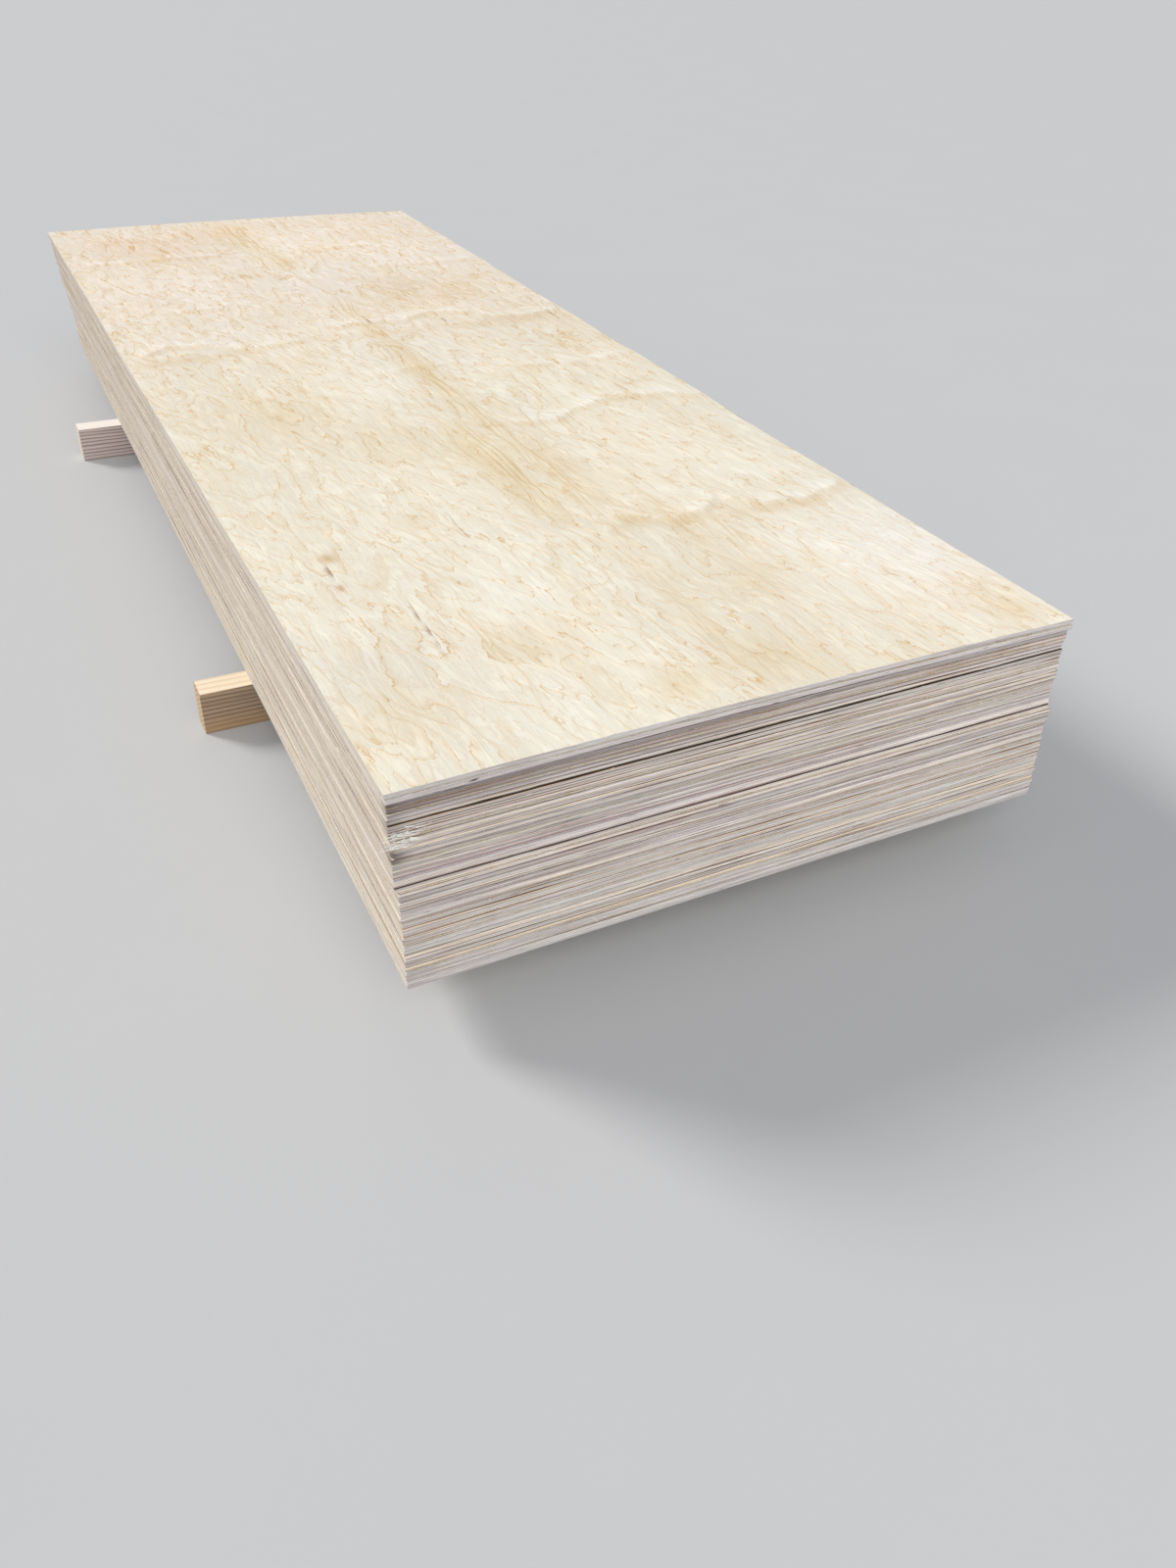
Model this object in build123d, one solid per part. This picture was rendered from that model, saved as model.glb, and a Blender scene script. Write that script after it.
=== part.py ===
from build123d import *
import math
import os

# A stack of thin birch plywood sheets lying flat on two softwood bearers.
# Millimetres. +X runs across the sheets, +Y along them, away from the front end, +Z up.
# The origin is on the floor, under the middle of the stack.

# Driving dimensions of a sheet
SHEET_LENGTH = 2500.0
SHEET_WIDTH = 905.0
SHEET_THICKNESS = 6.5

# Driving dimensions of the bearers, which stand on edge under the stack
BEARER_LENGTH = 1050.0
BEARER_WIDTH = 45.0
BEARER_HEIGHT = 70.0
BEARER_ARRIS = 1.5
FRONT_BEARER_INSET = 721.5
BACK_BEARER_INSET = 593.5
FRONT_BEARER_SHIFT = 2.5
BACK_BEARER_SHIFT = -2.5

# The sheets lie in batches, as they came off the saw, and no two batches were laid quite alike.
# From the top down, how many sheets each batch has
BATCH_COUNTS = [2, 2, 2, 3, 2, 3, 4, 2, 2, 5, 2, 3, 3, 3, 4]
# and how it lies: trim of the width, shift in X, shift in Y, turn in degrees
BATCH_LAYS = [
    (3.5, -2.2, 0.0, 0.00),
    (-1.0, -2.3, 1.5, -0.03),
    (-6.0, -4.5, -0.5, -0.07),
    (-2.5, -1.8, 1.0, -0.09),
    (-4.0, -1.9, -1.0, -0.11),
    (-2.0, 0.8, 0.5, -0.10),
    (-3.0, 0.6, -0.5, -0.15),
    (0.0, 3.2, 0.5, -0.17),
    (0.5, 7.0, -1.5, -0.15),
    (0.0, 8.8, 0.5, -0.20),
    (-1.0, 10.1, -0.5, -0.25),
    (3.0, 12.8, 1.0, -0.26),
    (1.0, 12.0, -0.5, -0.27),
    (4.0, 14.0, 0.0, -0.28),
    (5.5, 14.6, -1.0, -0.28),
]
SHEET_WANDER = 0.5

# The topmost sheets are crowned across their width, each a little more than the one below,
# and a little air is left between them
CROWNED_SHEETS = 6
TOP_CROWN = 3.0
AIR_GAP = 0.1

# Cross-wise buckles of the top sheet: place along the sheet from its front end, half width,
# and rise at its left edge, in its middle and at its right edge. The first lifts a corner.
BUCKLES = [
    (0.0, 160.0, 0.0, 0.4, 1.5),
    (475.0, 120.0, 0.4, 1.0, 1.2),
    (925.0, 130.0, 0.8, 1.8, 2.2),
    (1140.0, 110.0, 1.0, 2.4, 3.0),
    (1450.0, 150.0, 1.8, 4.0, 5.0),
    (1940.0, 110.0, 0.8, 1.8, 2.2),
    (2140.0, 90.0, 0.6, 1.3, 1.6),
]
LEFT, MIDDLE, RIGHT = range(3)
BUCKLE_STATIONS = 36

# Splinters torn from the right long edge of the top sheet: deep end, shallow end, depth
BITES = [(1195.0, 1320.0, 4.0), (830.0, 745.0, 3.0)]

# A bruised front left corner a few sheets down
BRUISED_FIRST = 11
BRUISED_SHEETS = 3
BRUISE = 5.0


def sheet_name(number):
    return f"sheet_{number:02d}"


def laid_sheets():
    """Every sheet from the bottom up, as (trim, shift x, shift y, turn)."""
    sheets = []
    for count, lay in zip(BATCH_COUNTS, BATCH_LAYS):
        sheets += [lay] * count
    return sheets[::-1]


def crowned_below(level, count):
    """How many crowned sheets there are up to this one, itself included."""
    return max(0, level + 1 - (count - CROWNED_SHEETS))


def flat_sheet(width):
    return Pos(0, 0, SHEET_THICKNESS / 2) * Box(width, SHEET_LENGTH, SHEET_THICKNESS)


def crowned_sheet(width, crown):
    """A sheet arched across its width, resting on its long edges."""
    half = width / 2
    with BuildPart() as made:
        with BuildSketch(Plane.XZ):
            with BuildLine():
                ThreePointArc((-half, 0), (0, crown), (half, 0))
                Line((half, 0), (half, SHEET_THICKNESS))
                ThreePointArc(
                    (half, SHEET_THICKNESS),
                    (0, crown + SHEET_THICKNESS),
                    (-half, SHEET_THICKNESS),
                )
                Line((-half, SHEET_THICKNESS), (-half, 0))
            make_face()
        extrude(amount=SHEET_LENGTH / 2, both=True)
    return made.part


def buckle_height(y, side):
    """Rise of the top sheet at y from its middle, at its left edge, its middle or its right edge."""
    along = y + SHEET_LENGTH / 2
    return sum(rises[side] * math.exp(-(((along - place) / half) ** 2)) for place, half, *rises in BUCKLES)


def buckled_profile(x, base, side):
    """The top sheet's section along its length, at x."""
    step = SHEET_LENGTH / BUCKLE_STATIONS
    stations = [-SHEET_LENGTH / 2 + step * i for i in range(BUCKLE_STATIONS + 1)]
    under = [(y, base + buckle_height(y, side)) for y in stations]
    over = [(y, z + SHEET_THICKNESS) for y, z in under]
    with BuildSketch(Plane.YZ.offset(x)) as made:
        with BuildLine():
            low = Spline(*under)
            high = Spline(*over)
            Line(low @ 0, high @ 0)
            Line(low @ 1, high @ 1)
        make_face()
    return made.sketch


def buckled_sheet(width, crown):
    """The top sheet: crowned across, buckled along, with splinters torn from its right edge."""
    half = width / 2
    sections = [
        buckled_profile(-half, 0, LEFT),
        buckled_profile(0, crown, MIDDLE),
        buckled_profile(half, 0, RIGHT),
    ]
    sheet = loft(sections)
    for deep_end, shallow_end, depth in BITES:
        sheet -= bite(half, deep_end, shallow_end, depth)
    return sheet


def bite(edge, deep_end, shallow_end, depth):
    """The wedge of wood that a torn splinter leaves missing."""
    front = -SHEET_LENGTH / 2
    corners = [
        (edge - depth, front + deep_end),
        (edge + depth, front + deep_end),
        (edge + depth, front + shallow_end),
        (edge, front + shallow_end),
    ]
    wedge = Polygon(*corners, align=None)
    reach = SHEET_THICKNESS * 4
    return Pos(0, 0, -reach / 2) * extrude(wedge, reach)


def bruised(sheet, width):
    """Takes the front left corner off a sheet."""
    corner = Pos(-width / 2, -SHEET_LENGTH / 2) * Rot(0, 0, 45)
    return sheet - corner * Box(BRUISE, 4 * BRUISE, 4 * SHEET_THICKNESS)


def make_sheets():
    sheets = {}
    laid = laid_sheets()
    for level, (trim, shift_x, shift_y, turn) in enumerate(laid):
        width = SHEET_WIDTH + trim
        crowned = crowned_below(level, len(laid))
        crown = TOP_CROWN * crowned / CROWNED_SHEETS
        if level == len(laid) - 1:
            sheet = buckled_sheet(width, crown)
        elif crown > 0:
            sheet = crowned_sheet(width, crown)
        else:
            sheet = flat_sheet(width)
        down = len(laid) - level
        if BRUISED_FIRST <= down < BRUISED_FIRST + BRUISED_SHEETS:
            sheet = bruised(sheet, width)
        wander = SHEET_WANDER * math.sin(2.4 * level)
        height = BEARER_HEIGHT + level * SHEET_THICKNESS + crowned * AIR_GAP
        place = Pos(shift_x + wander, shift_y - wander, height) * Rot(0, 0, turn)
        sheets[sheet_name(level + 1)] = place * sheet
    return sheets


def plain_bearer():
    """A planed length of timber along X, standing on edge on the floor, with eased arrises."""
    with BuildPart() as made:
        with BuildSketch(Plane.YZ):
            RectangleRounded(BEARER_WIDTH, BEARER_HEIGHT, BEARER_ARRIS)
        extrude(amount=BEARER_LENGTH / 2, both=True)
    return Pos(0, 0, BEARER_HEIGHT / 2) * made.part


def make_bearers():
    front_y = -SHEET_LENGTH / 2 + FRONT_BEARER_INSET
    back_y = SHEET_LENGTH / 2 - BACK_BEARER_INSET
    return {
        "bearer_front": Pos(FRONT_BEARER_SHIFT, front_y, 0) * plain_bearer(),
        "bearer_back": Pos(BACK_BEARER_SHIFT, back_y, 0) * plain_bearer(),
    }


os.makedirs("parts", exist_ok=True)
pieces = {**make_bearers(), **make_sheets()}
for name, piece in pieces.items():
    export_step(piece, f"parts/{name}.step")
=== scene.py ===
import math

import bpy
import numpy as np
from mathutils import Matrix, Vector


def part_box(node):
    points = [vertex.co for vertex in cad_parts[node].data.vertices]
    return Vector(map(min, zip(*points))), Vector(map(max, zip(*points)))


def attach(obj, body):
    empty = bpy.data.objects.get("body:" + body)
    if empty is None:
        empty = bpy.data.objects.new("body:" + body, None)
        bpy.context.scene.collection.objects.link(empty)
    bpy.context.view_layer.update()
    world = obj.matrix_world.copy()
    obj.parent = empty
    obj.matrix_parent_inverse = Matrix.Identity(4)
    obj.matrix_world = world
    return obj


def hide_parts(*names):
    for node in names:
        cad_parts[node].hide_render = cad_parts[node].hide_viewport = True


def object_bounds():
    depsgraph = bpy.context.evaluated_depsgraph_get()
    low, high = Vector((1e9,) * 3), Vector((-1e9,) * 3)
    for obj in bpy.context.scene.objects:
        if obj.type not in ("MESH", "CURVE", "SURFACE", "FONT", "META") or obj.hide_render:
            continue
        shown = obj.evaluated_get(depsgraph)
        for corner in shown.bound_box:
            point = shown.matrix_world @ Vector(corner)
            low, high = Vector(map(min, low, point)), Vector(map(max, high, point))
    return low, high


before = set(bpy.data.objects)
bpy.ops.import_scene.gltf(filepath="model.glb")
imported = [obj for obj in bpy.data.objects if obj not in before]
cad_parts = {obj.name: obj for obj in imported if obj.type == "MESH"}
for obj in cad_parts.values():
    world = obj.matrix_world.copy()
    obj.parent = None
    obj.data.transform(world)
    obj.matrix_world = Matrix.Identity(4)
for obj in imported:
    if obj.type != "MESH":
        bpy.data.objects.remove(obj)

# A stack of thin birch plywood sheets on two softwood bearers.
# Metres, in the row frame: +X across the sheets, +Y along them from the front end, +Z up.

MM = 0.001
cad_low, cad_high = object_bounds()
SHEETS = sorted(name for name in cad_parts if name.startswith("sheet_"))
TOP = len(SHEETS) - 1
first_low, first_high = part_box(SHEETS[0])
THICKNESS = first_high.z - first_low.z

# Where the random draws start
SHEET_SEED = 1000
SEAM_SEED = 400
SWELL_SEED = 77
SPLINTER_SEED = 21

# The photograph's camera, in the frame of a 1200 x 1600 picture
PICTURE_WIDTH = 1200
PICTURE_HEIGHT = 1600
FOCAL_PIXELS = 1231.0
SENSOR = 36.0
CAMERA_PLACE = (-0.7229, -2.1646, 1.0553)
CAMERA_YAW = 28.24
CAMERA_PITCH = 36.353
CAMERA_ROLL = -2.642

# Plies of a sheet, and the rings of points down its sawn edge, in plies below its upper face
PLIES = 5
PLY_PLACES = [0.0, 0.3, 1.0, 2.0, 3.0, 4.0, 4.7, 5.0]
PLY_JITTER = 0.022

# Slow and short waves in the line of an edge, and an inset that keeps them inside the solid
EDGE_WAVE = 0.45
EDGE_WANDER = 0.3 * MM
ROUGH_WAVE = 0.03
ROUGH_WANDER = 0.3 * EDGE_WANDER
ROUGH_WAVES = 9
EDGE_INSET = 1.3 * EDGE_WANDER

# How much farther in the arrises lie, and at most any other ring
ARRIS = 0.35 * MM
PLY_RELIEF = 0.08 * MM

# Steps between the points of a rim, finer ones at its corners, and the least step
EDGE_STEP = 9.5 * MM
SIDE_STEP = 13 * MM
CORNER_STEPS = [0.0, 1.0 * MM, 2.2 * MM, 4.0 * MM, 7.0 * MM]
LEAST_STEP = 0.25 * MM

# Points round a chip or a knot, in half lengths from its middle
MARKS = (-1.0, -0.4, 0.0, 0.5, 1.0)

# Worn corners, of most sheets and of the top two, and how much they differ
CORNER_WEAR = 1.1 * MM
TOP_CORNER_WEAR = 0.3 * MM
WEAR_RANGE = (0.3, 1.5)

# Chips in the arrises: how many in a metre, how near to a corner, half length and depth in mm, and the
# share of the thickness that they reach down
SHORT_SIDE_CHIPS = 4
LONG_SIDE_CHIPS = 2
CHIP_MARGIN = 20 * MM
CHIP_HALVES = (1.5, 7)
CHIP_DEPTHS = (0.3, 1.3)
CHIP_REACH = 0.3

# Gaps between the sheets, the wide ones by how many sheets lie above them. GAP_ABOVE is the share of a
# wide gap that is taken from the sheet above it, and the rest is taken from the one below.
USUAL_GAP = 0.22 * MM
GAP_RANGE = (0.3, 1.6)
WIDE_GAPS = {2: 0.4 * MM, 6: 1.3 * MM, 11: 0.4 * MM, 19: 0.4 * MM}
GAP_ABOVE = 0.25

# Painted shade on the face under a wide gap, and the plain tone of any other face
GAP_SHADE = (0.14, 0.11, 0.09, 1)
UNSHADED = (1, 1, 1, 1)

# The top sheet's own shape, as its solid has it: its crown, and its cross-wise buckles in mm, as place
# along the sheet, half width, and rise at the left edge, in the middle and at the right edge
TOP_CROWN = 3.0 * MM
BUCKLES = [
    (0, 160, 0.0, 0.4, 1.5),
    (475, 120, 0.4, 1.0, 1.2),
    (925, 130, 0.8, 1.8, 2.2),
    (1140, 110, 1.0, 2.4, 3.0),
    (1450, 150, 1.8, 4.0, 5.0),
    (1940, 110, 0.8, 1.8, 2.2),
    (2140, 90, 0.6, 1.3, 1.6),
]

# Splinters torn from the top sheet's right edge: deep end, shallow end, depth
BITES = [(1195 * MM, 1320 * MM, 4 * MM), (830 * MM, 745 * MM, 3 * MM)]

# Scalloped creases along the buckles, in mm: left end, right end, place of the ends, sag of the arc, height
CREASES = [
    (25, 190, 1437, 46, 2.6),
    (185, 335, 1442, -16, 1.7),
    (400, 560, 1492, 16, 2.4),
    (555, 720, 1500, 36, 2.6),
    (715, 905, 1492, -30, 2.4),
    (515, 650, 905, -34, 2.3),
    (640, 905, 900, 38, 1.9),
    (505, 690, 505, -52, 2.4),
    (685, 905, 492, -44, 2.1),
    (330, 520, 470, -30, 0.9),
    (20, 350, 2133, 8, 1.6),
    (580, 710, 2133, 6, 1.6),
    (600, 905, 1950, -22, 1.6),
    (120, 430, 700, 26, 0.7),
    (60, 330, 1730, -20, 0.9),
    (380, 620, 1180, 30, 1.0),
    (640, 900, 1165, -24, 1.3),
]

# A crease falls steeply towards the front, where painted shade makes it tan, and gently towards the back,
# where a painted highlight makes it pale
CREASE_FRONT = 8 * MM
CREASE_BACK = 30 * MM
CREASE_SHADE_TINT = (0.96, 0.915, 0.85)
CREASE_SHADE_PLACE = 13 * MM
CREASE_SHADE_REACH = 13 * MM
CREASE_HIGHLIGHT_TINT = (1.07, 1.095, 1.15)

# A crease of this height gets its painted shade and highlight in full, and a lower one less
FULL_CREASE = 2 * MM

# A slow swell of the top veneer, in mm: height, and the lengths of its waves across and along
SWELL = [(0.22, 310, 420), (0.18, 170, 210), (0.12, 96, 110), (0.07, 52, 60)]

# The relief is lowered round the highest buckle, and held this far under the top of the solids' box
HIGHEST_BUCKLE = 1450 * MM
RELIEF_DROP = 3.0 * MM
DROP_HALF_WIDTH = 170 * MM
UNDER_TOP = 0.1 * MM

# Open splits in the top veneer, in mm: x and y of both ends, half width, depth
SPLITS = [
    (157, 368, 155, 241, 0.7, 0.8),
    (296, 602, 293, 432, 0.6, 0.6),
    (95, 503, 92, 438, 0.8, 0.8),
    (490, 1560, 489, 1490, 1.0, 1.0),
    (871, 1492, 868, 1400, 0.9, 0.9),
    (634, 1520, 636, 1462, 0.8, 0.7),
    (215, 1512, 216, 1466, 0.7, 0.6),
    (781, 484, 780, 440, 0.8, 0.8),
    (694, 402, 694, 338, 0.6, 0.5),
]

# Painted shade inside a split: what its colour is multiplied by, and how deep it is for the whole of that
SPLIT_SHADE = (0.47, 0.40, 0.36)
FULL_SPLIT = 0.7 * MM

# The top sheet's length, and how far from its ends the relief reaches its full height
TOP_LENGTH = 2.5
RELIEF_FADE = 30 * MM

# Steps of the top sheet's mesh, its extra columns beside a split in mm, and its extra rows beside a bite
TOP_ACROSS_STEP = 8 * MM
TOP_ALONG_STEP = 5 * MM
SPLIT_COLUMNS = [-1.5, -0.5, 0.5, 1.5]
BITE_ROWS = (-0.6 * MM, 0.6 * MM)

# Clouds of colour in the top veneer, in mm: x, y, half width, half length, and the colour they multiply by.
# Most are the wood's own tone; some are painted shade and painted highlight on the slopes of the buckles.
TONE_CLOUDS_AND_PAINTED_LIGHT = [
    (492, 72, 62, 55, (0.955, 0.905, 0.82)),
    (859, 48, 34, 34, (0.94, 0.87, 0.76)),
    (850, 110, 60, 60, (0.97, 0.93, 0.86)),
    (790, 95, 60, 60, (1.01, 1.0, 1.0)),
    (81, 220, 75, 66, (0.955, 0.945, 0.94)),
    (60, 120, 90, 60, (0.97, 0.93, 0.86)),
    (30, 60, 60, 30, (1.02, 1.02, 1.02)),
    (255, 215, 80, 60, (0.965, 0.925, 0.86)),
    (101, 515, 12, 15, (0.80, 0.66, 0.48)),
    (92, 430, 5, 10, (0.76, 0.56, 0.40)),
    (679, 2207, 14, 20, (0.90, 0.84, 0.76)),
    (45, 1920, 9, 26, (0.90, 0.83, 0.76)),
    (644, 1776, 60, 80, (0.97, 0.93, 0.885)),
    # Painted shade on the front slope of the buckle near 1450 mm
    (120, 1395, 130, 22, (0.945, 0.885, 0.79)),
    (430, 1430, 130, 22, (0.965, 0.92, 0.85)),
    (740, 1430, 170, 26, (0.96, 0.91, 0.84)),
    (276, 1306, 55, 62, (0.96, 0.92, 0.87)),
    (425, 2330, 60, 170, (0.975, 0.94, 0.89)),
    (457, 2010, 24, 75, (0.95, 0.88, 0.77)),
    (484, 1150, 30, 330, (0.955, 0.90, 0.81)),
    (430, 700, 34, 190, (0.955, 0.90, 0.82)),
    (520, 700, 30, 190, (0.96, 0.91, 0.84)),
    (530, 470, 46, 30, (0.945, 0.89, 0.81)),
    # Painted shade on the front slope of the buckle near 475 mm, and a painted highlight on its back slope
    (735, 430, 120, 16, (0.95, 0.90, 0.83)),
    (735, 560, 150, 34, (1.02, 1.03, 1.05)),
    (300, 900, 120, 90, (0.985, 0.965, 0.93)),
    (700, 700, 150, 130, (0.99, 0.965, 0.93)),
    (150, 1050, 110, 130, (0.985, 0.95, 0.90)),
    (620, 1640, 170, 110, (0.98, 0.94, 0.89)),
    (230, 2250, 150, 130, (0.98, 0.94, 0.91)),
    (760, 2280, 130, 150, (0.985, 0.95, 0.92)),
    # Painted highlights on the back slopes of the buckles near 1450 mm and 925 mm
    (120, 1520, 130, 34, (1.02, 1.03, 1.06)),
    (700, 1560, 170, 34, (1.02, 1.03, 1.06)),
    (830, 960, 80, 40, (1.02, 1.03, 1.05)),
    (860, 330, 60, 120, (1.015, 1.02, 1.05)),
    (260, 60, 120, 60, (1.01, 1.015, 1.02)),
    (380, 60, 50, 30, (0.97, 0.92, 0.83)),
    (590, 250, 45, 60, (0.97, 0.925, 0.85)),
    (468, 250, 26, 130, (0.975, 0.945, 0.90)),
    (760, 210, 170, 170, (1.085, 1.10, 1.17)),
    (640, 2180, 230, 260, (1.06, 1.065, 1.07)),
    (180, 2180, 200, 240, (1.01, 0.985, 0.95)),
    (390, 2380, 110, 80, (0.99, 0.94, 0.86)),
    (120, 2330, 120, 60, (0.99, 0.95, 0.90)),
    (90, 1760, 70, 60, (0.98, 0.94, 0.89)),
    (330, 1640, 60, 80, (0.98, 0.95, 0.90)),
    (560, 2120, 50, 70, (0.98, 0.945, 0.89)),
    (760, 1720, 60, 80, (0.98, 0.94, 0.88)),
    (585, 420, 26, 90, (0.96, 0.91, 0.84)),
]

# How suddenly the clouds end
CLOUD_FALL = 1.3

# Bruised front left corners, and the dirt round them, by how many sheets lie above
BRUISED = (10, 11, 12)
BRUISE = 4.2 * MM
DIRTY = {2: 0.55, 3: 0.7, 4: 0.8, 5: 0.65, 6: 0.8, 7: 0.75, 8: 0.85, 11: 0.5, 12: 0.3, 13: 0.4, 14: 0.75}
DIRT_REACH = 16 * MM

# Painted shade on the sheets under the top ones, as cast by the top sheets' overhang: how light they are at
# their left and right ends, by how many sheets lie above
OVERHANG_SHADE = {2: (0.36, 0.56), 3: (0.55, 1.02), 4: (0.84, 0.97), 5: (0.90, 1.0)}
OVERHANG_SHADE_TINT = (1.0, 0.985, 1.02)

# Colours of the plies, as linear values: end grain in the short and in the long edges, long grain in
# both, and what lies between plies and sheets
END_GRAIN = (0.71, 0.645, 0.655)
SIDE_END_GRAIN = (0.775, 0.685, 0.595)
LONG_GRAIN = (0.80, 0.73, 0.62)
# The seam colours are dark glue with painted shade in the gaps between sheets, the open seam's painted shade
# alone
SEAM_GLUE_AND_SHADE = (0.18, 0.105, 0.08)
OPEN_GAP_SHADE = (0.045, 0.032, 0.026)
GLUE = (0.23, 0.155, 0.125)
DASH = (0.14, 0.10, 0.08)

# What a ply's colour is multiplied by where it stands out
CREAM = (1.28, 1.18, 0.96)
PALE = (1.21, 1.20, 1.19)
BROWN = (0.60, 0.52, 0.47)
RED = (0.76, 0.57, 0.50)

# Sheets that are darker or paler than the rest, by how many sheets lie above
SHEET_TONES = {
    0: 0.98, 6: 0.84, 7: 0.91, 8: 0.92, 9: 0.91, 13: 0.80, 15: 1.16, 16: 0.92, 17: 1.0, 18: 1.12, 19: 0.94,
    20: 0.91, 21: 0.88, 22: 0.95, 25: 1.05, 26: 1.06, 28: 0.95, 31: 0.95, 34: 1.08, 35: 1.04, 41: 0.96,
}

# The front edge is greyer towards its left corner: places along it, and how pale it is there
FRONT_PLACES = [0, 60 * MM, 330 * MM, 905 * MM, 925 * MM]
FRONT_TONES = [0.86, 0.90, 0.99, 1.03, 1.0]

# The left edge is darker towards its back: just round the back corner, and at its back and front ends
BACK_CORNER = 20 * MM
LEFT_TONES = [1.0, 0.75, 0.90]
LONG_SIDE_CONTRAST = 0.6

# How much the plies differ, in most sheets and in the plain ones, and how many of those lie lowest and top
PLY_SPREAD = 0.13
PLAIN_SPREAD = 0.065
PLAIN_SHEETS = 4
SMOOTH_TOP_SHEETS = 2

# Plies that stand out: sheets above, ply from the top down, colour, and how far from the left corner
SPECIAL_PLIES = {
    (1, 4): ((0.80, 0.80, 0.84), None),
    (5, 4): (PALE, None),
    (6, 0): ((1.22, 1.03, 0.76), None),
    (6, 1): ((0.90, 0.72, 0.58), 0.5),
    (7, 2): ((0.58, 0.31, 0.22), 0.42),
    (8, 1): (CREAM, None),
    (11, 0): (CREAM, None),
    (11, 1): (CREAM, None),
    (16, 2): ((0.84, 0.73, 0.71), 0.9),
    (16, 3): ((0.42, 0.27, 0.24), 0.9),
    (20, 2): (CREAM, None),
    (28, 1): ((1.12, 0.92, 0.66), None),
    (23, 1): (CREAM, None),
    (26, 3): (BROWN, None),
    (34, 3): ((1.36, 1.22, 0.93), None),
    (34, 4): ((1.30, 1.18, 0.95), None),
    (37, 1): ((1.38, 1.24, 0.95), None),
    (37, 2): ((1.30, 1.18, 0.95), None),
}

# Other plies stand out at random: the first limit above a draw from 0 to 1 gives the colour
PLY_KINDS = [(0.09, BROWN), (0.19, CREAM), (0.25, RED), (0.36, PALE)]

# Knots in the front edge: sheets above, ply, place and half length in mm, and how pale they are
KNOTS = [
    (1, 2, 93, 5, 0.10),
    (1, 1, 95, 4, 0.25),
    (1, 4, 500, 9, 0.35),
    (2, 2, 525, 12, 0.50),
    (0, 4, 337, 20, 0.62),
    (8, 4, 672, 8, 0.40),
    (15, 2, 650, 26, 0.60),
    (15, 0, 695, 14, 0.60),
    (25, 4, 624, 9, 0.40),
    (31, 4, 588, 10, 0.45),
    (31, 1, 491, 12, 0.50),
    (31, 3, 410, 10, 0.50),
    (21, 1, 392, 24, 0.50),
    (14, 2, 62, 12, 0.45),
    (18, 4, 88, 20, 0.55),
    (4, 3, 300, 14, 0.55),
    (14, 2, 190, 22, 0.50),
    (14, 3, 205, 16, 0.55),
    (9, 2, 560, 26, 0.55),
    (9, 3, 545, 30, 0.60),
    (18, 1, 420, 12, 0.45),
    (27, 2, 700, 14, 0.55),
    (22, 3, 655, 10, 0.50),
]

# How dark the seams between sheets are, from 0 to 1, by how many sheets lie above. The others are drawn
# from SEAM_RANGE. Beside a plain sheet they are PLAIN_SEAM times as dark. OPEN is the widest gap, and no
# other seam is darker than CLOSED_SEAM.
# A seam's darkness is dark glue and painted shade in the gap between the sheets
SEAMS = {
    1: 0.35, 2: 0.82, 3: 0.72, 6: 1.0, 7: 0.68, 8: 0.68, 9: 0.72, 11: 0.74, 13: 0.75, 15: 0.6, 16: 0.4,
    17: 0.35, 19: 0.72, 21: 0.75, 23: 0.65, 24: 0.65, 28: 0.75, 31: 0.78, 34: 0.7, 36: 0.8, 38: 0.82,
    40: 0.85,
}
SEAM_RANGE = (0.25, 0.72)
PLAIN_SEAM = 0.75
OPEN = 6
CLOSED_SEAM = 0.88

# Bands of golden streaks in the top veneer, in mm: x and y of the front end, x and y of the back end,
# half width, and how strong
BANDS = [
    (508, 470, 480, 1120, 20, 0.9),
    (448, 470, 425, 1000, 26, 1.0),
    (478, 930, 476, 1760, 26, 1.0),
    (470, 60, 478, 460, 22, 0.35),
    (610, 880, 660, 1180, 42, 0.6),
    (262, 960, 258, 1250, 24, 0.5),
    (440, 1900, 412, 2490, 52, 0.75),
    (660, 300, 575, 560, 24, 0.6),
    (214, 20, 206, 440, 14, 0.4),
    (730, 20, 700, 330, 34, 0.5),
]
BAND_COLOUR = (0.70, 0.52, 0.29)
GOLD = (0.85, 0.73, 0.49)
GOLDEN_PATCH = (0.84, 0.735, 0.53)
# The jag of the figure moves a band this far on average, in mm, so its line is moved as far to match
MEAN_JAG = 3

# The top veneer: its pale and its warmer wood, what it turns to at the back, and its fine net
VENEER_PALE = (0.895, 0.845, 0.73)
VENEER_WARM = (0.855, 0.785, 0.63)
VENEER_BACK = (0.88, 0.79, 0.70)
CRINKLE_COLOUR = (0.60, 0.45, 0.31)

# The figure leans off the grain by this much, to the right towards the front
FIGURE_LEAN = 0.24
FIGURE_COLOUR = (0.69, 0.44, 0.185)
FIGURE_SHADE = (0.79, 0.63, 0.39)

# The heart of the log, as how far before a bearer's middle it lies and its z, and its rings' spacing
HEART = (0.15, -0.20)
RING_PITCH = 6.6 * MM

# A bearer's arrises and the points round each, how far its ends are rounded, and its sections
BEARER_ARRIS = 1.5 * MM
ARRIS_POINTS = 4
END_ROUNDING = 0.7 * MM
BEARER_SECTIONS = 90

# Frayed fibres on the front end near its left corner: sheets above, nearest and farthest place, and how many
FRAYS = [
    (7, 8 * MM, 30 * MM, 8),
    (8, 3 * MM, 26 * MM, 22),
    (9, 2 * MM, 22 * MM, 26),
    (10, 2 * MM, 12 * MM, 12),
]

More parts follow.
